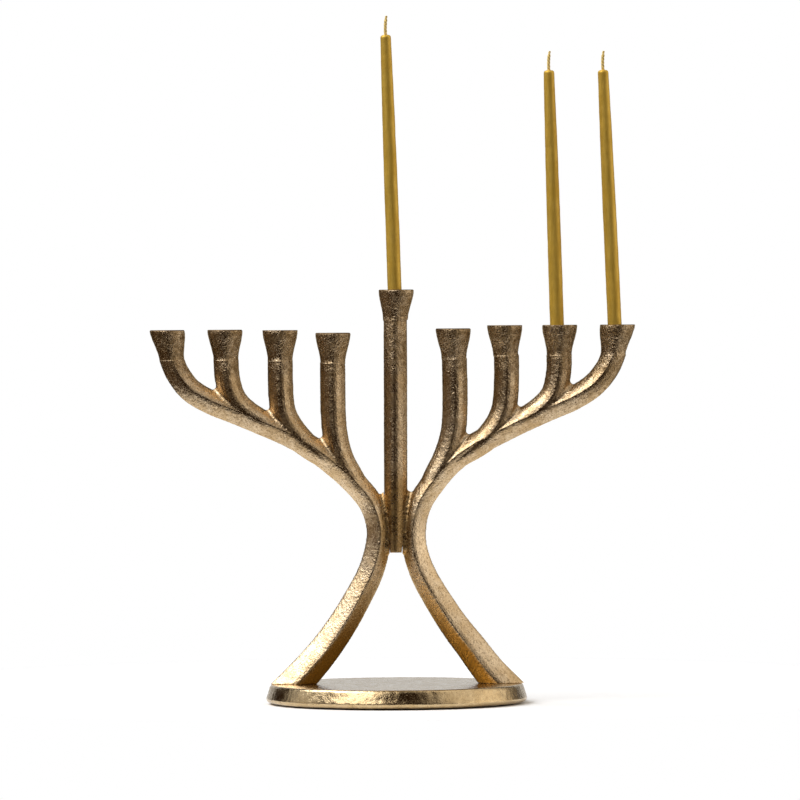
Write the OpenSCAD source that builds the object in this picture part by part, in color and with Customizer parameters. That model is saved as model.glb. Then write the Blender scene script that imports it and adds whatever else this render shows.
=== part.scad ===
// Nine-light Hanukkah menorah: two cast side frames and a centre stem meet at a
// waist, stand on a round base, and carry nine flared cups for slim taper candles.
// Origin: centre of the underside. X runs along the row of cups, +Z is up, -Y is the front.

/* [Base] */
// Radius of the base at its widest line
base_r = 90.5; // [88:0.5:96]
// Height of the base's top face above the table
base_top = 13.5; // [13:0.5:16]
// Radius of the base's flat top face
base_top_r = 87; // [82:0.5:87]
// Thickness of the felt under the base
felt_t = 1; // [0.6:0.1:1.5]

/* [Bars] */
// Width of an arm or branch, seen from the front
bar_w = 16.4; // [14:0.2:18]
// Width of the centre stem
stem_w = 16; // [14:0.2:18]
// Depth of every bar, front ridge to back ridge
bar_d = 16; // [14:0.5:18]
// Width of a leg where it stands on the base
foot_w = 23.8; // [18:0.2:26]
// Sideways step of the ridge towards the inner side of an arm or leg
ridge_step = 1.1; // [0:0.1:2]

/* [Cups] */
// Width of a cup at its mouth
mouth_w = 24.4; // [22:0.2:26]
// Width of a cup at its neck
neck_w = 17.2; // [16:0.2:19]
// Height of a cup above its joint line
cup_h = 21; // [20:0.5:24]
// Radius of the candle socket
socket_r = 5.5; // [5.5:0.05:5.8]
// Depth of the socket, from the mouth
socket_deep = 13.5; // [11:0.5:14]

/* [Candles] */
// Radius of a candle at its foot
candle_foot_r = 5.1; // [4.6:0.05:5.1]
// Radius of a candle at its shoulder
candle_top_r = 3.9; // [3:0.1:4]
// Length of a candle without its wick
candle_len = 189; // [120:1:200]
// Length of wick that stands out of a candle
wick_len = 13; // [8:0.5:16]

/* [Hidden] */
$fn = 48;

brass = "#b58a4a";
steel = "#9a9a98";
felt_green = "#2b2a26";
wax_gold = "#b8913a";
wick_brown = "#8a6420";

// Middle of each cup's mouth, [x, z], from left to right
MOUTHS = [
    [-157, 258.5], [-117, 258.5], [-79, 258], [-42.5, 256], [1.4, 285.5],
    [40.5, 258.5], [76, 260.5], [114, 260.5], [154, 260.5]
];
// How far each cup's neck sits to the right of its mouth
LEAN = [3.4, 0.6, 0, -0.2, -0.8, 0.4, 0.6, -0.5, -3.4];
// How far each socket is drilled to the right of the middle of its mouth
SOCKETS = [0, 0, 0, 0, -0.9, 0, 0, -1.7, -1.8];

// Middle lines of the bars, [x, z]: the long ones run from the foot of a leg through
// the waist to the outermost cup, and each branch leaves one of them for its own cup.
LEFT_LONG = [
    [-84, 0], [-63.5, 21], [-49, 38], [-37, 55], [-27, 72], [-18, 89.5], [-12.8, 107],
    [-12, 122], [-17, 138], [-28, 152], [-41, 164], [-56, 175.5], [-73, 185.5], [-92, 194],
    [-111, 202], [-127, 208.5], [-141, 217], [-149.5, 228], [-153.6, 237.5], [-157, 248]
];
RIGHT_LONG = [
    [84.8, 0], [64.8, 21], [52, 38], [39.8, 54], [28.9, 71], [19.1, 88.5], [13.3, 106],
    [12.8, 122], [17, 138], [26.5, 152.5], [38.5, 166], [53.5, 177], [70.5, 186], [88, 194.5],
    [106, 202.5], [122.5, 209.5], [136.8, 218.5], [146.2, 229.5], [150.8, 239.5], [154, 250]
];
LEFT_BRANCHES = [
    [
        [-72, 185], [-88, 193], [-101.5, 200.5], [-111, 210.5], [-115.4, 224],
        [-116.4, 237.5], [-117, 249]
    ],
    [[-42, 164], [-56, 174], [-67, 184.5], [-75.6, 197.5], [-78.6, 212], [-79, 237.5], [-79, 249]],
    [[-17, 137], [-26, 150], [-36, 166], [-40.8, 182], [-42.6, 200], [-42.9, 235], [-42.5, 246]]
];
RIGHT_BRANCHES = [
    [[70, 186], [86, 194], [99, 201.5], [109.2, 212.3], [113, 227], [113.5, 239.5], [114, 251]],
    [[39.5, 165], [54.5, 175.5], [66.3, 186], [74.2, 199.5], [76.8, 215], [77.1, 239.5], [76, 251]],
    [[16, 137], [24.3, 151], [33.4, 166.5], [39.2, 183], [41.3, 200], [41.2, 237], [40.5, 249]]
];

// Wedge where the stem is held between the two frames, and the stem's middle line
// up to the joint line of its cup
WEDGE = [[-3.9, 103], [3.9, 103], [9.1, 155], [9.1, 400], [-9.1, 400], [-9.1, 155]];
STEM_LINE = [[0, 104.2], [0.2, 160]];

// Bars: stretches of the middle line in which a leg narrows, how fast it does so, and the
// stretches at a bar's end in which its ridge comes back to the middle and grows rounder.
// A branch starts branch_root_w wide inside its long bar and widens within root_stretches.
leg_stretches = 7;
leg_taper = 1.4;
branch_root_w = 9;
root_stretches = 1.7;
ridge_fade = 4;
// Shape of a bar's section: 1 is a plain diamond and 2 an ellipse
sharp_ridge = 1.25;
round_ridge = 1.5;
stem_ridge_step = [-1.6, -0.8];
// Reach of a cutting block past what it cuts, and its width at a cup
over = 60;
cup_room = 28;

// Steel fastenings inside the joints
DOWEL_Z = [110, 122];
dowel_r = 2;
dowel_len = 27;
dowel_end_gap = 0.2;
slack = 0.05;
stud_r = 2;
stud_len = 10;
stud_end_gap = 0.3;
SCREW_X = [-66, 67.5];
screw_r = 2.5;
screw_top = 21.5;
screw_gap = 0.25;
screw_end_gap = 1;
head_r = 4.5;
head_h = 3.5;
washer_r = 5;
washer_t = 1;
washer_top = 7;
washer_gap = 0.5;

// Edge of the base, from the felt up: how far in from base_r or base_top_r, and how high
BASE_FOOT_IN = 2.4;
BASE_BEVEL = [0.8, 1];
BASE_WIDEST_UP = 2.8;
BASE_TOP_EDGE = [0.8, 1.2];
BASE_TOP_IN = 0.4;
felt_in = 7;

// Cups: rings in a flare, how much rounder the mouth is than the neck, flat rim, and dish
cup_rings = 9;
mouth_rounding = 0.3;
rim_land = 3.2;
dish_deep = 2;
dish_over = 0.4;

// Lean of each candle in its socket, in degrees towards -X
CENTRE_LEAN = 1.7;
INNER_LEAN = 1.5;
OUTER_LEAN = 2.3;
candle_gap = 0.35;
candle_foot_bevel = 0.7;
candle_swell = 2.5;
SHOULDER = [[0, 1.6], [0.5, 0.5], [1.6, 0]];
wick_r = 1.05;
wick_seat = 3;
wick_sway = 0.9;
wick_tip = 0.7;

bar_facets = 16;
cup_facets = 32;
wick_facets = 8;
base_facets = 96;
bend_step = 6;

// Outline of a bar or cup: a diamond with soft corners, w wide and d deep, its ridge
// moved by step, as soft as sharp_ridge or round_ridge
function outline(w, d, step, soft, facets) = [
    for (i = [0 : facets - 1])
        let (
            a = 360 * i / facets,
            c = cos(a),
            s = sin(a),
            u = sign(c) * pow(abs(c), 2 / soft) * w / 2,
            v = sign(s) * pow(abs(s), 2 / soft) * d / 2
        )
        [u + step * (1 - pow(abs(c), 2 / soft)), v]
];

// Point of a smooth curve through the points p, at t from 0 to len(p) - 3
function curve_at(p, t) =
    let (
        i = min(floor(t), len(p) - 4),
        f = t - i,
        a = p[i],
        b = p[i + 1],
        c = p[i + 2],
        d = p[i + 3]
    )
    b + (c - a) * f / 2 + (2 * a - 5 * b + 4 * c - d) * f * f / 2
    + (3 * b - a - 3 * c + d) * f * f * f / 2;

function with_ends(p) = concat(
    [2 * p[0] - p[1]], p, [2 * p[len(p) - 1] - p[len(p) - 2]]
);

function unit(v) = v / norm(v);

// Faces of a tube of rings, closed at both ends
function tube_faces(rings, sides) = concat(
    [[for (i = [0 : sides - 1]) i]],
    [
        for (r = [0 : rings - 2], i = [0 : sides - 1], half = [0, 1])
            let (
                j = (i + 1) % sides,
                a = r * sides + i,
                b = r * sides + j,
                c = a + sides,
                d = b + sides
            )
            half == 0 ? [a, c, b] : [b, c, d]
    ],
    [[for (i = [sides - 1 : -1 : 0]) (rings - 1) * sides + i]]
);

// Bar along the middle line p. It is w0 wide at its start and w1 from the stretch
// narrow_at on; hand is 1 where the inner side lies to the right of the line, or -1.
// Its ridge is moved by steps[0], and by steps[1] at its end, where round_ridge replaces soft.
module bar(p, w0, w1, narrow_at, steps, hand, soft) {
    line = with_ends(p);
    spans = len(p) - 1;
    rings = ceil(spans * norm(p[2] - p[1]) / bend_step) + 1;
    points = [
        for (r = [0 : rings - 1])
            let (
                t = spans * r / (rings - 1),
                here = curve_at(line, t),
                along = unit(curve_at(line, min(t + 0.01, spans)) - curve_at(line, max(t - 0.01, 0))),
                side = [along[1], -along[0]] * hand,
                w = w1 + (w0 - w1) * pow(max(0, 1 - t / narrow_at), leg_taper),
                fade = min(1, (spans - t) / ridge_fade)
            )
            for (q = outline(
                w, bar_d * (1 + w / bar_w) / 2, steps[1] + (steps[0] - steps[1]) * fade,
                round_ridge + (soft - round_ridge) * fade, bar_facets
            ))
                let (at = here + side * q[0])
                [at[0], q[1] * hand, at[1]]
    ];
    polyhedron(points, tube_faces(rings, bar_facets), convexity = 10);
}

function joint_z(n) = MOUTHS[n][1] - cup_h;
function neck_x(n) = MOUTHS[n][0] + LEAN[n];

// Space on both sides of y = 0 over an outline in X and Z
module thick_outline(outline) {
    rotate([90, 0, 0])
        linear_extrude(over, center = true)
            polygon(outline);
}

// One side before drilling: a long bar and its branches, cut off flat at the base,
// at the stem and at the joint line of each cup. resize() at [0, 0, 0] keeps the size
// and joins the bars into one casting.
module side_casting(long, branches, first_cup, hand) {
    resize([0, 0, 0])
        difference() {
            union() {
                bar(long, foot_w, bar_w, leg_stretches, [ridge_step, 0], hand, sharp_ridge);
                for (b = branches)
                    bar(b, branch_root_w, neck_w, root_stretches, [0, 0], hand, round_ridge);
            }
            for (n = [first_cup : first_cup + 3])
                translate([neck_x(n) - cup_room / 2, -over / 2, joint_z(n)])
                    cube([cup_room, over, over]);
            translate([-2 * base_r, -over, base_top - over])
                cube([4 * base_r, 2 * over, over]);
            thick_outline(WEDGE);
        }
}

module side_holes(first_cup, screw_x) {
    for (n = [first_cup : first_cup + 3])
        translate([neck_x(n), 0, joint_z(n) - stud_len / 2])
            cylinder(r = stud_r + slack, h = stud_len);
    translate([screw_x, 0, 0])
        cylinder(r = screw_r + slack, h = screw_top + screw_end_gap);
    dowel_holes();
}

module dowel_holes() {
    for (z = DOWEL_Z)
        translate([0, 0, z])
            rotate([0, 90, 0])
                cylinder(r = dowel_r + slack, h = dowel_len + 2 * dowel_end_gap, center = true);
}

module left_frame() {
    color(brass)
        difference() {
            side_casting(LEFT_LONG, LEFT_BRANCHES, 0, 1);
            side_holes(0, SCREW_X[0]);
        }
}

module right_frame() {
    color(brass)
        difference() {
            side_casting(RIGHT_LONG, RIGHT_BRANCHES, 5, -1);
            side_holes(5, SCREW_X[1]);
        }
}

// The stem narrows to a wedge between the frames and ends in a small flat foot
module centre_stem() {
    line = concat(STEM_LINE, [[neck_x(4), joint_z(4)]]);
    color(brass)
        difference() {
            resize([0, 0, 0])
                intersection() {
                    bar(line, stem_w, stem_w, 1, stem_ridge_step, 1, round_ridge);
                    thick_outline(WEDGE);
                }
            dowel_holes();
            translate([neck_x(4), 0, joint_z(4) - stud_len / 2])
                cylinder(r = stud_r + slack, h = stud_len);
        }
}

module waist_dowels() {
    color(steel)
        for (z = DOWEL_Z)
            translate([0, 0, z])
                rotate([0, 90, 0])
                    cylinder(r = dowel_r, h = dowel_len, center = true);
}

module base_plate() {
    color(brass)
        difference() {
            rotate_extrude($fn = base_facets)
                polygon([
                    [0, felt_t], [base_r - BASE_FOOT_IN, felt_t],
                    [base_r - BASE_BEVEL[0], felt_t + BASE_BEVEL[1]],
                    [base_r, felt_t + BASE_WIDEST_UP],
                    [base_top_r + BASE_TOP_EDGE[0], base_top - BASE_TOP_EDGE[1]],
                    [base_top_r - BASE_TOP_IN, base_top], [0, base_top]
                ]);
            for (x = SCREW_X)
                translate([x, 0, 0]) {
                    cylinder(r = screw_r + screw_gap, h = over);
                    cylinder(r = washer_r + washer_gap, h = washer_top);
                }
        }
}

module base_felt() {
    color(felt_green)
        cylinder(r = base_r - felt_in, h = felt_t, $fn = base_facets);
}

module leg_screws() {
    color(steel)
        for (x = SCREW_X)
            translate([x, 0, washer_top - washer_t - head_h]) {
                cylinder(r = head_r, h = head_h);
                cylinder(r = screw_r, h = screw_top - washer_top + washer_t + head_h);
            }
}

module leg_washers() {
    color(steel)
        for (x = SCREW_X)
            translate([x, 0, washer_top - washer_t])
                difference() {
                    cylinder(r = washer_r, h = washer_t);
                    cylinder(r = screw_r + screw_gap, h = over, center = true);
                }
}

module cup_studs() {
    color(steel)
        for (n = [0 : 8])
            translate([neck_x(n), 0, joint_z(n) - stud_len / 2])
                cylinder(r = stud_r, h = stud_len);
}

// Flared cup n: a bar's outline at the neck that opens into a rounder mouth
module cup(n) {
    points = [
        for (r = [0 : cup_rings - 1])
            let (
                t = r / (cup_rings - 1),
                flare = t * t * (3 - 2 * t),
                w = neck_w + (mouth_w - neck_w) * flare,
                d = bar_d + (mouth_w - bar_d) * flare,
                soft = round_ridge + mouth_rounding * flare
            )
            for (q = outline(w, d, 0, soft, cup_facets))
                [q[0] + LEAN[n] * (1 - t), q[1], t * cup_h]
    ];
    translate([MOUTHS[n][0], 0, joint_z(n)])
        color(brass)
            difference() {
                polyhedron(points, tube_faces(cup_rings, cup_facets), convexity = 4);
                translate([SOCKETS[n], 0, cup_h - socket_deep])
                    cylinder(r = socket_r, h = over);
                translate([SOCKETS[n], 0, cup_h - dish_deep])
                    cylinder(r1 = socket_r, r2 = mouth_w / 2 - rim_land, h = dish_deep + dish_over);
                translate([LEAN[n], 0, 0])
                    cylinder(r = stud_r + slack, h = stud_len + 2 * stud_end_gap, center = true);
            }
}

module cup_1() { cup(0); }
module cup_2() { cup(1); }
module cup_3() { cup(2); }
module cup_4() { cup(3); }
module cup_5() { cup(4); }
module cup_6() { cup(5); }
module cup_7() { cup(6); }
module cup_8() { cup(7); }
module cup_9() { cup(8); }

// Places a candle's own upright frame, foot at z = 0, leaning in the socket of cup n
module in_socket(n, lean) {
    translate([MOUTHS[n][0] + SOCKETS[n], 0, MOUTHS[n][1] - socket_deep / 2])
        rotate([0, -lean, 0])
            translate([0, 0, candle_gap - socket_deep / 2])
                children();
}

module candle() {
    hole = wick_r + slack;
    body = candle_len - SHOULDER[0][1];
    swell = candle_foot_r - candle_top_r;
    color(wax_gold)
        rotate_extrude()
            polygon(concat(
                [[0, 0], [candle_foot_r - candle_foot_bevel, 0]],
                [
                    for (t = [0.005, 0.25, 0.5, 0.7, 0.85, 1])
                        [candle_top_r + swell * (1 - pow(t, candle_swell)), body * t]
                ],
                [for (s = [1, 2]) [candle_top_r - SHOULDER[s][0], candle_len - SHOULDER[s][1]]],
                [[hole, candle_len], [hole, candle_len - wick_seat], [0, candle_len - wick_seat]]
            ));
}

// Wick with a slight S bend above the wax
module wick() {
    steps = 10;
    points = [
        for (r = [0 : steps])
            let (
                t = r / steps,
                free = max(0, t - 0.2),
                sway = wick_sway * (3 * free - 1) * free,
                thick = wick_r * (t < 0.9 ? 1 : wick_tip)
            )
            for (i = [0 : wick_facets - 1])
                [
                    sway + thick * cos(360 * i / wick_facets),
                    thick * sin(360 * i / wick_facets),
                    candle_len - wick_seat + t * (wick_len + wick_seat)
                ]
    ];
    color(wick_brown)
        polyhedron(points, tube_faces(steps + 1, wick_facets));
}

module centre_candle() { in_socket(4, CENTRE_LEAN) candle(); }
module centre_wick() { in_socket(4, CENTRE_LEAN) wick(); }
module right_inner_candle() { in_socket(7, INNER_LEAN) candle(); }
module right_inner_wick() { in_socket(7, INNER_LEAN) wick(); }
module right_outer_candle() { in_socket(8, OUTER_LEAN) candle(); }
module right_outer_wick() { in_socket(8, OUTER_LEAN) wick(); }

base_plate();
base_felt();
leg_screws();
leg_washers();
left_frame();
right_frame();
centre_stem();
waist_dowels();
cup_studs();
cup_1();
cup_2();
cup_3();
cup_4();
cup_5();
cup_6();
cup_7();
cup_8();
cup_9();
centre_candle();
centre_wick();
right_inner_candle();
right_inner_wick();
right_outer_candle();
right_outer_wick();
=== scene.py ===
import math

import bmesh
import bpy
from mathutils import Matrix, Vector


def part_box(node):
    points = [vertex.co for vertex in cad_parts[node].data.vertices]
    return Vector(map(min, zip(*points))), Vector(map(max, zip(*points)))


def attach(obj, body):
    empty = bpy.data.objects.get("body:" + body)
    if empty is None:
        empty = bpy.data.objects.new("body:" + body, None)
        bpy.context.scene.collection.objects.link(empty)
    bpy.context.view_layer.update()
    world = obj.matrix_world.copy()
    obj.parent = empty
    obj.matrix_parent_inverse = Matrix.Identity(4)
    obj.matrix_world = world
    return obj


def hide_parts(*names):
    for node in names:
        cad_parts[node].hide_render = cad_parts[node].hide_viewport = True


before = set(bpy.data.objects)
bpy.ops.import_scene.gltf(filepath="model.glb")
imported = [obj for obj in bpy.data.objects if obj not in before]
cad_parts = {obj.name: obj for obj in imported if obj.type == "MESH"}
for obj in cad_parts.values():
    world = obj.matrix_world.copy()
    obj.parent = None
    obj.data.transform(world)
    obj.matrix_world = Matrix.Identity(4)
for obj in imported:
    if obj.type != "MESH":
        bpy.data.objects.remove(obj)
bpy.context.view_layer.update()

MM = 0.001
scene = bpy.context.scene

CUPS = [f"cup_{n}" for n in range(1, 10)]
CASTINGS = ["left_frame", "right_frame", "centre_stem"]
CANDLES = ["centre", "right_inner", "right_outer"]
HIDDEN_STEEL = ["leg_screws", "leg_washers", "waist_dowels", "cup_studs"]


# ---------------------------------------------------------------- node helpers

class Nodes:
    """Short calls for building one node tree."""

    def __init__(self, tree):
        self.tree = tree
        tree.nodes.clear()

    def add(self, kind, **settings):
        node = self.tree.nodes.new(kind)
        for name, value in settings.items():
            setattr(node, name, value)
        return node

    def link(self, out_socket, in_socket):
        self.tree.links.new(out_socket, in_socket)

    def noise(self, where, size, detail=3.0, roughness=0.55):
        """Noise whose lumps are about size metres across."""
        node = self.add("ShaderNodeTexNoise")
        node.inputs["Scale"].default_value = 1 / size
        node.inputs["Detail"].default_value = detail
        node.inputs["Roughness"].default_value = roughness
        self.link(where, node.inputs["Vector"])
        return node.outputs["Fac"]

    def remap(self, value, low, high, to_low=0.0, to_high=1.0):
        node = self.add("ShaderNodeMapRange", interpolation_type="SMOOTHSTEP")
        node.inputs["From Min"].default_value = low
        node.inputs["From Max"].default_value = high
        node.inputs["To Min"].default_value = to_low
        node.inputs["To Max"].default_value = to_high
        self.link(value, node.inputs["Value"])
        return node.outputs["Result"]

    def math(self, operation, a, b):
        node = self.add("ShaderNodeMath", operation=operation)
        for socket, value in zip(node.inputs, (a, b)):
            if isinstance(value, (int, float)):
                socket.default_value = value
            else:
                self.link(value, socket)
        return node.outputs[0]

    def mix(self, factor, a, b, blend="MIX"):
        """Mix of two colours; each is a socket or an (r, g, b)."""
        node = self.add("ShaderNodeMix", data_type="RGBA", blend_type=blend)
        self.put(factor, node.inputs["Factor"])
        self.put(a, node.inputs[6])
        self.put(b, node.inputs[7])
        return node.outputs[2]

    def put(self, value, socket):
        if isinstance(value, (int, float)):
            socket.default_value = value
        elif isinstance(value, tuple):
            socket.default_value = (*value, 1)
        else:
            self.link(value, socket)

    def bump(self, height, distance, strength=1.0, after=None):
        node = self.add("ShaderNodeBump")
        node.inputs["Distance"].default_value = distance
        node.inputs["Strength"].default_value = strength
        self.link(height, node.inputs["Height"])
        if after is not None:
            self.link(after, node.inputs["Normal"])
        return node.outputs["Normal"]


def new_material(name):
    """A material with a bare Principled shader: its Nodes, the shader and object coordinates."""
    material = bpy.data.materials.new(name)
    material.use_nodes = True
    n = Nodes(material.node_tree)
    shader = n.add("ShaderNodeBsdfPrincipled")
    output = n.add("ShaderNodeOutputMaterial")
    n.link(shader.outputs["BSDF"], output.inputs["Surface"])
    where = n.add("ShaderNodeTexCoord").outputs["Object"]
    return material, n, shader, where


# ---------------------------------------------------------------- where the brass is worn or darkened, and where shade is painted

# PATINA_AND_SHADE is patina on the legs' inner sides and partly painted shade between the legs.
PATINA_AND_SHADE, TARNISH, PITS = (0.185, 0.095, 0.010), (0.19, 0.10, 0.025), (0.15, 0.08, 0.02)
# MOUTH_DARK is the darker brown of the upward faces round the candle sockets.
# WAIST_BROWN is the darker brown over the waist near the middle plane.
WAIST_BROWN, MOUTH_DARK, STAIN = (0.34, 0.20, 0.06), (0.09, 0.05, 0.02), (0.13, 0.07, 0.018)

# Heights above the table, in millimetres, between which each kind of wear, darkening and painted shade
# comes or goes
LEGS_END = (35, 125)
GAPS_START, GAPS_END = (88, 98), (145, 165)
STEM_START, BRANCHES_START = (100, 110), (158, 182)
CUPS_START, COARSE_START, MOUTHS_START = (226, 231), (226, 232), (246, 251)


def axes(n, vector):
    """The X, Y and Z of a vector socket, by name."""
    split = n.add("ShaderNodeSeparateXYZ")
    n.link(vector, split.inputs[0])
    return split.outputs


def surface_normal(n):
    """The surface's own X, Y and Z directions, by name."""
    return axes(n, n.add("ShaderNodeTexCoord").outputs["Normal"])


def above(n, where, heights, below=0.0, over=1.0):
    """From below to over as the height passes the two given ones, in millimetres."""
    low, high = heights
    return n.remap(axes(n, where)["Z"], low * MM, high * MM, below, over)


def near_middle(n, where, full, gone):
    """1 within full millimetres of the middle plane, 0 beyond gone."""
    return n.remap(n.math("ABSOLUTE", axes(n, where)["X"], 0.0), full * MM, gone * MM, 1.0, 0.0)


def inner_patina_and_shade(n, where):
    """1 on the leg sides that face each other, low down where no cloth reaches; 0 elsewhere. The dark
    there is patina and partly painted shade between the legs.
    """
    side = n.math("SIGN", axes(n, where)["X"], 0.0)
    outward = n.math("MULTIPLY", surface_normal(n)["X"], side)
    inward = n.remap(outward, -0.45, -0.05, 1.0, 0.0)
    return n.math("MULTIPLY", inward, above(n, where, LEGS_END, 1.0, 0.0))


def mouth_darkening(n, where):
    """1 on the upward faces round the candle sockets, 0 elsewhere."""
    upward = n.remap(surface_normal(n)["Z"], 0.15, 0.5)
    return n.math("MULTIPLY", upward, above(n, where, MOUTHS_START))


def waist_darkening(n, where):
    """1 near the middle plane over the waist, where the two castings meet the stem."""
    waist = n.math("MULTIPLY", above(n, where, GAPS_START), above(n, where, GAPS_END, 1.0, 0.0))
    return n.math("MULTIPLY", near_middle(n, where, 9, 12), waist)


def uprights(n, where):
    """1 on the stem and the branches, all round, 0 on the waist and the legs."""
    upright = n.math("MAXIMUM", above(n, where, BRANCHES_START), near_middle(n, where, 8, 9.5))
    return n.math("MULTIPLY", upright, above(n, where, STEM_START))


# ---------------------------------------------------------------- materials

def aged_brass(name, bright, shadow, edge, grain, smooth, wear):
    """Sand-cast brass: edge is its glancing tint, grain scales its texture, smooth polishes it.

    wear tarnishes the uprights and the cups and darkens the waist, the same on every side.
    """
    material, n, shader, where = new_material(name)
    shader.inputs["Metallic"].default_value = 1.0
    shader.inputs["Specular Tint"].default_value = (*edge, 1)
    clouds = n.noise(where, 26 * MM, 3)
    blotch = n.noise(where, 6 * MM, 4)
    speck = n.noise(where, 1.25 * MM, 3, 0.6)
    fine = n.noise(where, 0.6 * MM, 2)
    age = n.math("ADD", n.math("MULTIPLY", clouds, 0.55), n.math("MULTIPLY", blotch, 0.45))
    age = n.remap(age, 0.38, 0.66)
    pits = n.remap(speck, 0.34, 0.5, 1.0, 0.0)
    colour = n.mix(n.math("MULTIPLY", age, 0.5), bright, shadow)
    # Patina on the legs' inner sides, partly painted shade between the legs.
    colour = n.mix(n.math("MULTIPLY", inner_patina_and_shade(n, where), 0.95), colour, PATINA_AND_SHADE)
    mottle = n.remap(n.noise(where, 2.4 * MM, 3, 0.6), 0.38, 0.56, 0.3, 1.0)
    tarnish = n.math("MULTIPLY", uprights(n, where), mottle)
    colour = n.mix(n.math("MULTIPLY", tarnish, 0.3 * wear), colour, TARNISH)
    colour = n.mix(n.math("MULTIPLY", pits, 0.5 * grain), colour, PITS)
    edges = n.add("ShaderNodeNewGeometry").outputs["Pointiness"]
    rubbed = n.remap(edges, 0.505, 0.56)
    polished = tuple(min(1.0, c * 1.12) for c in bright)
    colour = n.mix(n.math("MULTIPLY", rubbed, 0.35), colour, polished)
    # Darker brown over the waist near the middle plane.
    colour = n.mix(n.math("MULTIPLY", waist_darkening(n, where), 0.7 * wear), colour, WAIST_BROWN)
    # Darker, rougher brown on the upward faces round the candle sockets.
    darker_mouths = mouth_darkening(n, where)
    colour = n.mix(n.math("MULTIPLY", darker_mouths, 0.85), colour, MOUTH_DARK)
    stains = n.remap(n.noise(where, 3 * MM, 4, 0.6), 0.38, 0.66)
    stained = n.math("MULTIPLY", above(n, where, CUPS_START), stains)
    colour = n.mix(n.math("MULTIPLY", stained, 0.55 * wear), colour, STAIN)
    n.link(colour, shader.inputs["Base Color"])
    rough = n.remap(blotch, 0.3, 0.7, 0.26 - smooth, 0.38 - smooth)
    rough = n.math("ADD", rough, n.math("MULTIPLY", pits, 0.14 * grain))
    rough = n.math("ADD", rough, n.math("MULTIPLY", darker_mouths, 0.3))
    n.link(rough, shader.inputs["Roughness"])
    normal = n.bump(blotch, 0.4 * MM, 0.3 * grain)
    coarser = above(n, where, COARSE_START, 1.0, 2.1)
    normal = n.bump(n.math("MULTIPLY", speck, coarser), 0.34 * MM, 0.85 * grain, normal)
    normal = n.bump(fine, 0.15 * MM, 0.8 * grain, normal)
    n.link(normal, shader.inputs["Normal"])
    return material


def gold_wax():
    """Metallic candle wax, faintly streaked up and down."""
    material, n, shader, where = new_material("gold_wax")
    shader.inputs["Metallic"].default_value = 0.6
    shader.inputs["Specular IOR Level"].default_value = 0.45
    streak_space = n.add("ShaderNodeMapping")
    streak_space.inputs["Scale"].default_value = (1, 1, 0.12)
    n.link(where, streak_space.inputs["Vector"])
    streaks = n.noise(streak_space.outputs["Vector"], 2.2 * MM, 3)
    clouds = n.noise(where, 14 * MM, 3)
    colour = n.mix(n.remap(streaks, 0.35, 0.65), (0.655, 0.415, 0.058), (0.765, 0.505, 0.085))
    colour = n.mix(n.math("MULTIPLY", n.remap(clouds, 0.4, 0.7), 0.35), colour, (0.60, 0.36, 0.033))
    n.link(colour, shader.inputs["Base Color"])
    n.link(n.remap(clouds, 0.3, 0.7, 0.5, 0.6), shader.inputs["Roughness"])
    normal = n.bump(streaks, 0.12 * MM, 0.5)
    normal = n.bump(n.noise(where, 0.7 * MM, 2), 0.03 * MM, 0.5, normal)
    n.link(normal, shader.inputs["Normal"])
    return material


def cotton_wick():
    """Golden cotton with slanting strands."""
    material, n, shader, where = new_material("cotton_wick")
    shader.inputs["Metallic"].default_value = 0.2
    strands = n.add("ShaderNodeTexWave", wave_type="BANDS", bands_direction="DIAGONAL")
    strands.inputs["Scale"].default_value = 260
    strands.inputs["Distortion"].default_value = 2
    n.link(where, strands.inputs["Vector"])
    fuzz = n.noise(where, 0.3 * MM, 3)
    colour = n.mix(strands.outputs["Fac"], (0.86, 0.60, 0.15), (0.98, 0.74, 0.24))
    colour = n.mix(n.remap(fuzz, 0.4, 0.7), colour, (0.85, 0.66, 0.28))
    n.link(colour, shader.inputs["Base Color"])
    n.link(n.remap(fuzz, 0.3, 0.7, 0.6, 0.85), shader.inputs["Roughness"])
    n.link(n.bump(strands.outputs["Fac"], 0.08 * MM, 0.6), shader.inputs["Normal"])
    return material


def wool_felt():
    """Nearly black felt with a short nap."""
    material, n, shader, where = new_material("wool_felt")
    fibres = n.noise(where, 0.5 * MM, 5, 0.7)
    clouds = n.noise(where, 9 * MM, 3)
    colour = n.mix(n.remap(fibres, 0.3, 0.7), (0.016, 0.014, 0.012), (0.06, 0.053, 0.045))
    colour = n.mix(n.math("MULTIPLY", n.remap(clouds, 0.4, 0.7), 0.4), colour, (0.035, 0.03, 0.025))
    n.link(colour, shader.inputs["Base Color"])
    n.link(n.remap(clouds, 0.3, 0.7, 0.86, 0.98), shader.inputs["Roughness"])
    shader.inputs["Sheen Weight"].default_value = 0.35
    n.link(n.bump(fibres, 0.25 * MM, 0.9), shader.inputs["Normal"])
    return material


def zinc_steel():
    """Plated steel with turning marks."""
    material, n, shader, where = new_material("zinc_steel")
    shader.inputs["Metallic"].default_value = 1.0
    spangle = n.noise(where, 1.6 * MM, 2)
    turned = n.add("ShaderNodeTexWave", wave_type="RINGS", rings_direction="Z")
    turned.inputs["Scale"].default_value = 900
    turned.inputs["Distortion"].default_value = 1.5
    n.link(where, turned.inputs["Vector"])
    colour = n.mix(n.remap(spangle, 0.35, 0.65), (0.50, 0.50, 0.49), (0.66, 0.65, 0.62))
    n.link(colour, shader.inputs["Base Color"])
    n.link(n.remap(spangle, 0.3, 0.7, 0.28, 0.46), shader.inputs["Roughness"])
    n.link(n.bump(turned.outputs["Fac"], 0.03 * MM, 0.5), shader.inputs["Normal"])
    return material


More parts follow.
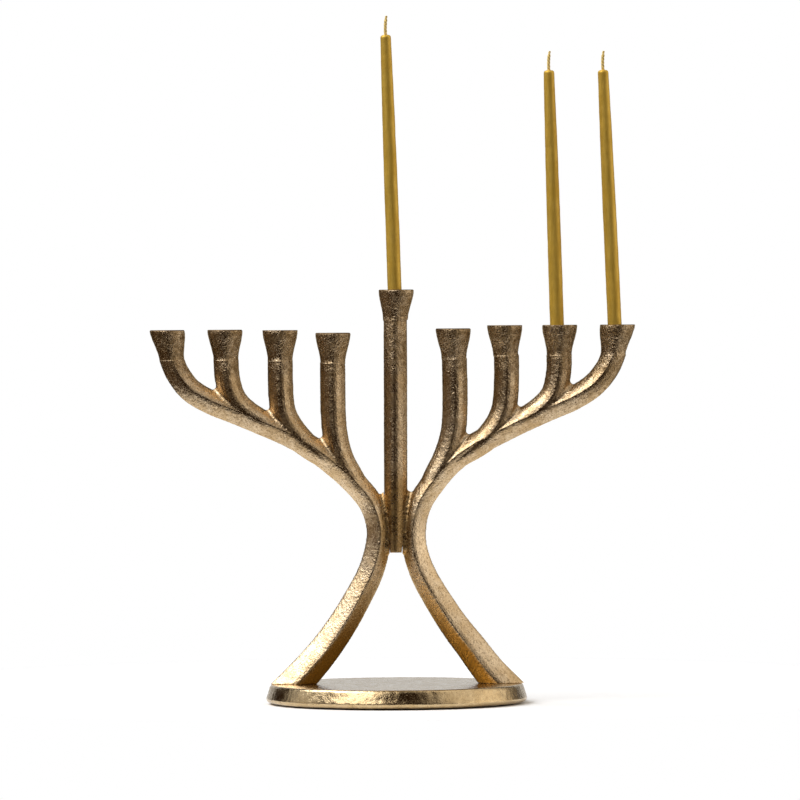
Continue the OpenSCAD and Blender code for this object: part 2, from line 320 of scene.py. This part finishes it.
def pale_floor():
    """The white of the table top."""
    material, n, shader, where = new_material("pale_floor")
    tone = n.remap(n.noise(where, 0.4, 2), 0.3, 0.7)
    n.link(n.mix(tone, (0.95, 0.95, 0.95), (0.97, 0.97, 0.97)), shader.inputs["Base Color"])
    n.link(n.remap(n.noise(where, 0.02, 3), 0.3, 0.7, 0.75, 0.85), shader.inputs["Roughness"])
    return material


# ---------------------------------------------------------------- meshes

# All in millimetres. A mesh is grown (or slimmed) by its growth before it is smoothed.
BAR_GROWTH, CUP_GROWTH, CANDLE_GROWTH = 0.25, 0.04, -0.2
CREASE_VOXEL, CASTING_VOXEL, CANDLE_VOXEL, WICK_VOXEL = 0.7, 0.62, 0.42, 0.13
CREASE_REACH = 1.6
BEAD_WIDTH, BEAD_HEIGHT = 0.7, 0.11

SHRINK_BACK = 1.12  # of what it was swelled by, so that only the grooves gain metal
WICK_TWIST = 2.6  # radians in a millimetre


def link_object(name, mesh):
    piece = bpy.data.objects.new(name, mesh)
    scene.collection.objects.link(piece)
    return piece


def welded_copy(growth):
    """One mesh from CAD nodes, their points welded, each grown by its value in growth."""
    out = bmesh.new()
    for name, grow in growth.items():
        part = bmesh.new()
        part.from_mesh(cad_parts[name].data)
        bmesh.ops.remove_doubles(part, verts=part.verts, dist=0.002 * MM)
        part.normal_update()
        for v in part.verts:
            v.co += v.normal * grow
        loose = bpy.data.meshes.new("part")
        part.to_mesh(loose)
        part.free()
        out.from_mesh(loose)
        bpy.data.meshes.remove(loose)
    mesh = bpy.data.meshes.new("copy")
    out.to_mesh(mesh)
    out.free()
    return mesh


def apply_modifiers(piece):
    """Bakes a piece's modifiers into its mesh."""
    evaluated = piece.evaluated_get(bpy.context.evaluated_depsgraph_get())
    mesh = bpy.data.meshes.new_from_object(evaluated)
    piece.modifiers.clear()
    old = piece.data
    piece.data = mesh
    bpy.data.meshes.remove(old)


def remeshed(piece, voxel, smoothing):
    """Turns CAD facets into one even, softly rounded surface."""
    remesh = piece.modifiers.new("remesh", "REMESH")
    remesh.mode = "VOXEL"
    remesh.voxel_size = voxel
    remesh.use_smooth_shade = True
    if smoothing:
        smooth = piece.modifiers.new("smooth", "SMOOTH")
        smooth.factor = 0.5
        smooth.iterations = smoothing
    apply_modifiers(piece)


def roughened(piece, lumps):
    """Pushes the surface in and out; lumps lists (size across, height) of each noise."""
    for size, height in lumps:
        texture = bpy.data.textures.new("lumps", "CLOUDS")
        texture.noise_scale = size
        texture.noise_depth = 1
        texture.cloud_type = "GRAYSCALE"
        push = piece.modifiers.new("push", "DISPLACE")
        push.texture = texture
        push.texture_coords = "LOCAL"
        push.strength = height
        push.mid_level = 0.55
    apply_modifiers(piece)


def finish_piece(piece, body, material, slot, *replaced):
    """Keeps a piece inside the box of the nodes it replaces and gives it body and material; slot is not
    used.
    """
    boxes = [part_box(node) for node in replaced]
    low = [min(box[0][i] for box in boxes) for i in range(3)]
    high = [max(box[1][i] for box in boxes) for i in range(3)]
    for v in piece.data.vertices:
        v.co = [min(max(c, lo), hi) for c, lo, hi in zip(v.co, low, high)]
    piece.data.materials.clear()
    piece.data.materials.append(material)
    for polygon in piece.data.polygons:
        polygon.use_smooth = True
    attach(piece, body)
    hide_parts(*replaced)
    return piece


def stem_flat(side):
    """Point and outward normal of the stem's large flat that faces side (-1 left, 1 right)."""
    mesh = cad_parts["centre_stem"].data
    flats = [p for p in mesh.polygons if p.normal.x * side > 0.98 and abs(p.normal.y) < 0.01]
    best = max(flats, key=lambda p: p.area)
    return best.center.copy(), best.normal.copy()


def cup_foot(node):
    """Point and upward normal of the flat on which a cup stands."""
    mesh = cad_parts[node].data
    flats = [p for p in mesh.polygons if p.normal.z < -0.98]
    lowest = min(flats, key=lambda p: p.center.z)
    return lowest.center.copy(), -lowest.normal


def near_cup(node, margin=1.2 * MM):
    """Test for points in a cup's box, widened by margin."""
    low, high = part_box(node)
    return lambda co: all(lo - margin < c < hi + margin for c, lo, hi in zip(co, low, high))


def cut_and_cap(bm, faces, point, outward):
    """Cuts off what lies outward of a plane, among the given faces, and closes the cut."""
    edges = dict.fromkeys(edge for face in faces for edge in face.edges)
    verts = dict.fromkeys(vert for face in faces for vert in face.verts)
    cut = bmesh.ops.bisect_plane(
        bm, geom=[*faces, *edges, *verts], dist=1e-7, plane_co=point, plane_no=outward, clear_outer=True,
    )
    rim = [e for e in cut["geom_cut"] if isinstance(e, bmesh.types.BMEdge)]
    cap = bmesh.ops.holes_fill(bm, edges=rim, sides=0)
    bmesh.ops.triangulate(bm, faces=cap["faces"])


def part_of(piece, name, cuts, within=None):
    """A copy of a piece with cuts made in it: each is (point, outward normal, test or None)."""
    bm = bmesh.new()
    bm.from_mesh(piece.data)
    if within:
        away = [v for v in bm.verts if not within(v.co)]
        bmesh.ops.delete(bm, geom=away, context="VERTS")
    for point, outward, test in cuts:
        faces = [f for f in bm.faces if not test or all(test(v.co) for v in f.verts)]
        cut_and_cap(bm, faces, point, outward)
    mesh = bpy.data.meshes.new(name)
    bm.to_mesh(mesh)
    bm.free()
    return link_object(name, mesh)


def fill_creases(piece, reach):
    """Adds braze in grooves narrower than twice reach: a copy is swelled and then shrunk back."""
    sharp = bmesh.new()
    sharp.from_mesh(piece.data)
    remeshed(piece, CREASE_VOXEL * MM, 2)
    for amount in (reach, -SHRINK_BACK * reach):
        for v, normal in [(v, v.normal.copy()) for v in piece.data.vertices]:
            v.co += normal * amount
        remeshed(piece, CREASE_VOXEL * MM, 4)
    sharp.from_mesh(piece.data)
    sharp.to_mesh(piece.data)
    sharp.free()


def braze_beads(piece, feet):
    """Raises a faint ring of braze where each cup meets its bar."""
    lowest = min(point.z for point, _ in feet.values()) - 3 * MM
    tests = [(near_cup(node, 2 * MM), *foot) for node, foot in feet.items()]
    high_up = [(v, v.normal.copy()) for v in piece.data.vertices if v.co.z > lowest]
    for v, normal in high_up:
        for inside, point, up in tests:
            if inside(v.co):
                off = (v.co - point).dot(up) / (BEAD_WIDTH * MM)
                v.co += normal * BEAD_HEIGHT * MM * math.exp(-off * off)
                break


def castings(brass):
    """Bars and cups: smoothed as one, so that the seams blend, then parted at the CAD's joint planes."""
    growth = {
        **dict.fromkeys(CASTINGS, BAR_GROWTH * MM),
        **dict.fromkeys(CUPS + ["waist_dowels", "cup_studs"], CUP_GROWTH * MM),
    }
    whole = link_object("whole_casting", welded_copy(growth))
    fill_creases(whole, CREASE_REACH * MM)
    remeshed(whole, CASTING_VOXEL * MM, 3)
    feet = {node: cup_foot(node) for node in CUPS}
    braze_beads(whole, feet)
    roughened(whole, [(5 * MM, 0.14 * MM), (1.5 * MM, 0.24 * MM)])
    for node, (point, up) in feet.items():
        cup = part_of(whole, node + "_cast", [(point, -up, None)], near_cup(node))
        finish_piece(cup, "root", brass, "aged_brass", node)
    cups_off = [(point, up, near_cup(node)) for node, (point, up) in feet.items()]
    bars = part_of(whole, "bars", cups_off)
    bpy.data.objects.remove(whole)
    (left, leftward), (right, rightward) = stem_flat(-1), stem_flat(1)
    cuts = {
        "left_frame": [(left, -leftward, None)],
        "right_frame": [(right, -rightward, None)],
        "centre_stem": [(left, leftward, None), (right, rightward, None)],
    }
    for node, planes in cuts.items():
        finish_piece(part_of(bars, node + "_cast", planes), "root", brass, "aged_brass", node)
    bpy.data.objects.remove(bars)


def lathe(name, profile, steps):
    """A closed solid of revolution about Z from a profile of (radius, height), axis to axis."""
    bm = bmesh.new()
    rings = []
    for radius, height in profile:
        if radius < 1e-9:
            rings.append([bm.verts.new((0, 0, height))])
            continue
        angles = [2 * math.pi * i / steps for i in range(steps)]
        rings.append([bm.verts.new((radius * math.cos(a), radius * math.sin(a), height)) for a in angles])
    for low, high in zip(rings, rings[1:]):
        for i in range(steps):
            j = (i + 1) % steps
            corners = [low[i % len(low)], low[j % len(low)], high[j % len(high)], high[i % len(high)]]
            bm.faces.new(dict.fromkeys(corners))
    bmesh.ops.recalc_face_normals(bm, faces=bm.faces)
    mesh = bpy.data.meshes.new(name)
    bm.to_mesh(mesh)
    bm.free()
    return link_object(name, mesh)


def rounded(corners, radius, steps=5):
    """A profile with each inner corner replaced by a short curve."""
    out = [corners[0]]
    for before, here, after in zip(corners, corners[1:], corners[2:]):
        here = Vector(here)
        back, ahead = Vector(before) - here, Vector(after) - here
        reach = min(radius, back.length * 0.45, ahead.length * 0.45)
        start, end = here + back.normalized() * reach, here + ahead.normalized() * reach
        for i in range(steps + 1):
            t = i / steps
            out.append(tuple(start * (1 - t) ** 2 + here * 2 * t * (1 - t) + end * t * t))
    out.append(corners[-1])
    return out


def subdivided(profile, step):
    """The profile again, with points no further than step apart."""
    out = [profile[0]]
    for a, b in zip(profile, profile[1:]):
        count = max(1, math.ceil(math.dist(a, b) / step))
        shares = [i / count for i in range(1, count + 1)]
        out += [(a[0] + (b[0] - a[0]) * t, a[1] + (b[1] - a[1]) * t) for t in shares]
    return out


def base_disc(brass):
    """The round foot: a turned profile whose rim is dented and wavy, as cast."""
    low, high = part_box("base_plate")
    r = high.x
    corners = [
        (0, low.z), (r - 2.4 * MM, low.z), (r - 0.8 * MM, low.z + MM), (r, low.z + 2.8 * MM),
        (r - 2.7 * MM, high.z - 1.2 * MM), (r - 3.9 * MM, high.z), (0, high.z),
    ]
    piece = lathe("base_plate_cast", subdivided(rounded(corners, 1.4 * MM), 1.2 * MM), 480)
    texture = bpy.data.textures.new("wrinkles", "CLOUDS")
    texture.noise_scale = 3.4 * MM
    for v in piece.data.vertices:
        rim = min(1.0, max(0.0, (math.hypot(v.co.x, v.co.y) - r + 7 * MM) / (3 * MM)))
        angle = math.atan2(v.co.y, v.co.x)
        wave = math.sin(5 * angle) + 0.6 * math.sin(11 * angle + 1) + 0.4 * math.sin(23 * angle)
        dent = (1.5 + wave * 0.5) * 0.1 * MM + texture.evaluate(v.co)[3] * 0.45 * MM
        v.co -= Vector((math.cos(angle), math.sin(angle), 0)) * rim * dent
        v.co.z += rim * 0.07 * MM * math.sin(9 * angle + 2)
    roughened(piece, [(2 * MM, 0.05 * MM), (24 * MM, 0.10 * MM)])
    finish_piece(piece, "root", brass, "aged_brass", "base_plate")


def felt_pad(felt):
    """The felt under the foot."""
    low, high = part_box("base_felt")
    r = high.x
    corners = [(0, low.z), (r, low.z), (r, high.z), (0, high.z)]
    piece = lathe("felt_pad", subdivided(rounded(corners, 0.3 * MM), 2 * MM), 320)
    roughened(piece, [(1.2 * MM, 0.05 * MM)])
    finish_piece(piece, "root", felt, "felt", "base_felt")


def dipped_candles(wax, wick):
    """Three candles with uneven wax, each with a wick twisted from two strands."""
    for name in CANDLES:
        body = name + "_candle"
        candle = link_object(name + "_dipped_candle", welded_copy({body: CANDLE_GROWTH * MM}))
        remeshed(candle, CANDLE_VOXEL * MM, 6)
        roughened(candle, [(9 * MM, 0.25 * MM), (2.5 * MM, 0.06 * MM)])
        finish_piece(candle, body, wax, "wax", body)
        braid = link_object(name + "_braided_wick", welded_copy({name + "_wick": 0.0}))
        remeshed(braid, WICK_VOXEL * MM, 3)
        low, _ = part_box(name + "_wick")
        for v, normal in [(v, v.normal.copy()) for v in braid.data.vertices]:
            turn = math.atan2(normal.y, normal.x) * 2 + (v.co.z - low.z) / MM * WICK_TWIST
            v.co += normal * 0.1 * MM * (math.sin(turn) + 0.2)
        finish_piece(braid, body, wick, "wick", name + "_wick")


# ---------------------------------------------------------------- studio

def direction(azimuth, elevation):
    """Unit vector: azimuth 0 points at the camera, 90 to its right."""
    a, e = math.radians(azimuth), math.radians(elevation)
    return (math.sin(a) * math.cos(e), -math.cos(a) * math.cos(e), math.sin(e))


# Soft lights of the studio dome: where, full within, gone past (degrees from it), level, tint
DOME = [
    (direction(-42, 42), 12, 26, 3.6, (1.0, 0.985, 0.97)),
    (direction(-90, 54), 14, 28, 5.0, (0.97, 1.0, 1.04)),
    (direction(-96, 22), 10, 24, 0.6, (0.98, 0.99, 1.0)),
    (direction(-88, -8), 14, 32, 0.12, (1.0, 0.60, 0.24)),
    (direction(0, 88), 18, 50, 0.25, (1.0, 0.97, 0.92)),
    (direction(86, 34), 26, 50, 0.92, (1.0, 0.95, 0.87)),
    (direction(92, -10), 22, 42, 0.65, (1.0, 0.93, 0.82)),
    (direction(180, 5), 20, 38, 0.75, (0.95, 0.98, 1.0)),
]
DOME_REST = (0.026, 0.013, 0.004)


def studio_dome():
    """A white room to the eye, and soft lights with a dark camera side to the metal."""
    world = bpy.data.worlds.new("studio")
    world.use_nodes = True
    scene.world = world
    n = Nodes(world.node_tree)
    toward = n.add("ShaderNodeTexCoord").outputs["Generated"]
    total = n.mix(0.0, DOME_REST, (0.0, 0.0, 0.0))
    for where, full, gone, level, tint in DOME:
        dot = n.add("ShaderNodeVectorMath", operation="DOT_PRODUCT")
        n.link(toward, dot.inputs[0])
        dot.inputs[1].default_value = where
        amount = n.remap(dot.outputs["Value"], math.cos(math.radians(gone)), math.cos(math.radians(full)))
        lamp = n.mix(amount, (0.0, 0.0, 0.0), tuple(level * c for c in tint))
        total = n.mix(1.0, total, lamp, "ADD")
    lit = n.add("ShaderNodeBackground")
    n.link(total, lit.inputs["Color"])
    seen = n.add("ShaderNodeBackground")
    seen.inputs["Color"].default_value = (1, 1, 1, 1)
    choose = n.add("ShaderNodeMixShader")
    n.link(n.add("ShaderNodeLightPath").outputs["Is Camera Ray"], choose.inputs["Fac"])
    n.link(lit.outputs["Background"], choose.inputs[1])
    n.link(seen.outputs["Background"], choose.inputs[2])
    output = n.add("ShaderNodeOutputWorld")
    n.link(choose.outputs["Shader"], output.inputs["Surface"])


def studio_floor():
    """A round white table top, with the dark room reflected beyond its edge."""
    bm = bmesh.new()
    middle = Matrix.Translation((0, 0.2, 0))
    bmesh.ops.create_circle(bm, cap_ends=True, segments=96, radius=0.4, matrix=middle)
    mesh = bpy.data.meshes.new("floor")
    bm.to_mesh(mesh)
    bm.free()
    floor = link_object("floor", mesh)
    mesh.materials.append(pale_floor())


def camera():
    """A long lens at the height of the cups, slightly rolled."""
    distance, eye_height = 4.6, 0.262
    aim = Vector((0.0035, 0, 0.2093))
    view_width = 0.552
    data = bpy.data.cameras.new("camera")
    data.sensor_width = 36
    eye = Vector((aim.x, -distance, eye_height))
    data.lens = data.sensor_width * (aim - eye).length / view_width
    data.clip_end = 50
    cam = bpy.data.objects.new("camera", data)
    scene.collection.objects.link(cam)
    look = (aim - eye).to_track_quat("-Z", "Y").to_matrix().to_4x4()
    cam.matrix_world = Matrix.Translation(eye) @ look @ Matrix.Rotation(math.radians(-0.35), 4, "Z")
    scene.camera = cam


# ---------------------------------------------------------------- the object

camera()
studio_dome()
studio_floor()
scene.view_settings.view_transform = "Standard"

cast_brass = aged_brass("cast_brass", (0.70, 0.55, 0.37), (0.47, 0.29, 0.10), (0.86, 0.72, 0.50),
                        grain=1.0, smooth=0.06, wear=1.0)
base_brass = aged_brass("base_brass", (0.60, 0.46, 0.27), (0.42, 0.28, 0.12), (0.97, 0.97, 0.97),
                        grain=0.5, smooth=0.14, wear=0.0)
castings(cast_brass)
base_disc(base_brass)
felt_pad(wool_felt())
dipped_candles(gold_wax(), cotton_wick())
steel = zinc_steel()
for node in HIDDEN_STEEL:
    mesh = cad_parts[node].data
    mesh.materials.clear()
    mesh.materials.append(steel)

bpy.context.view_layer.update()
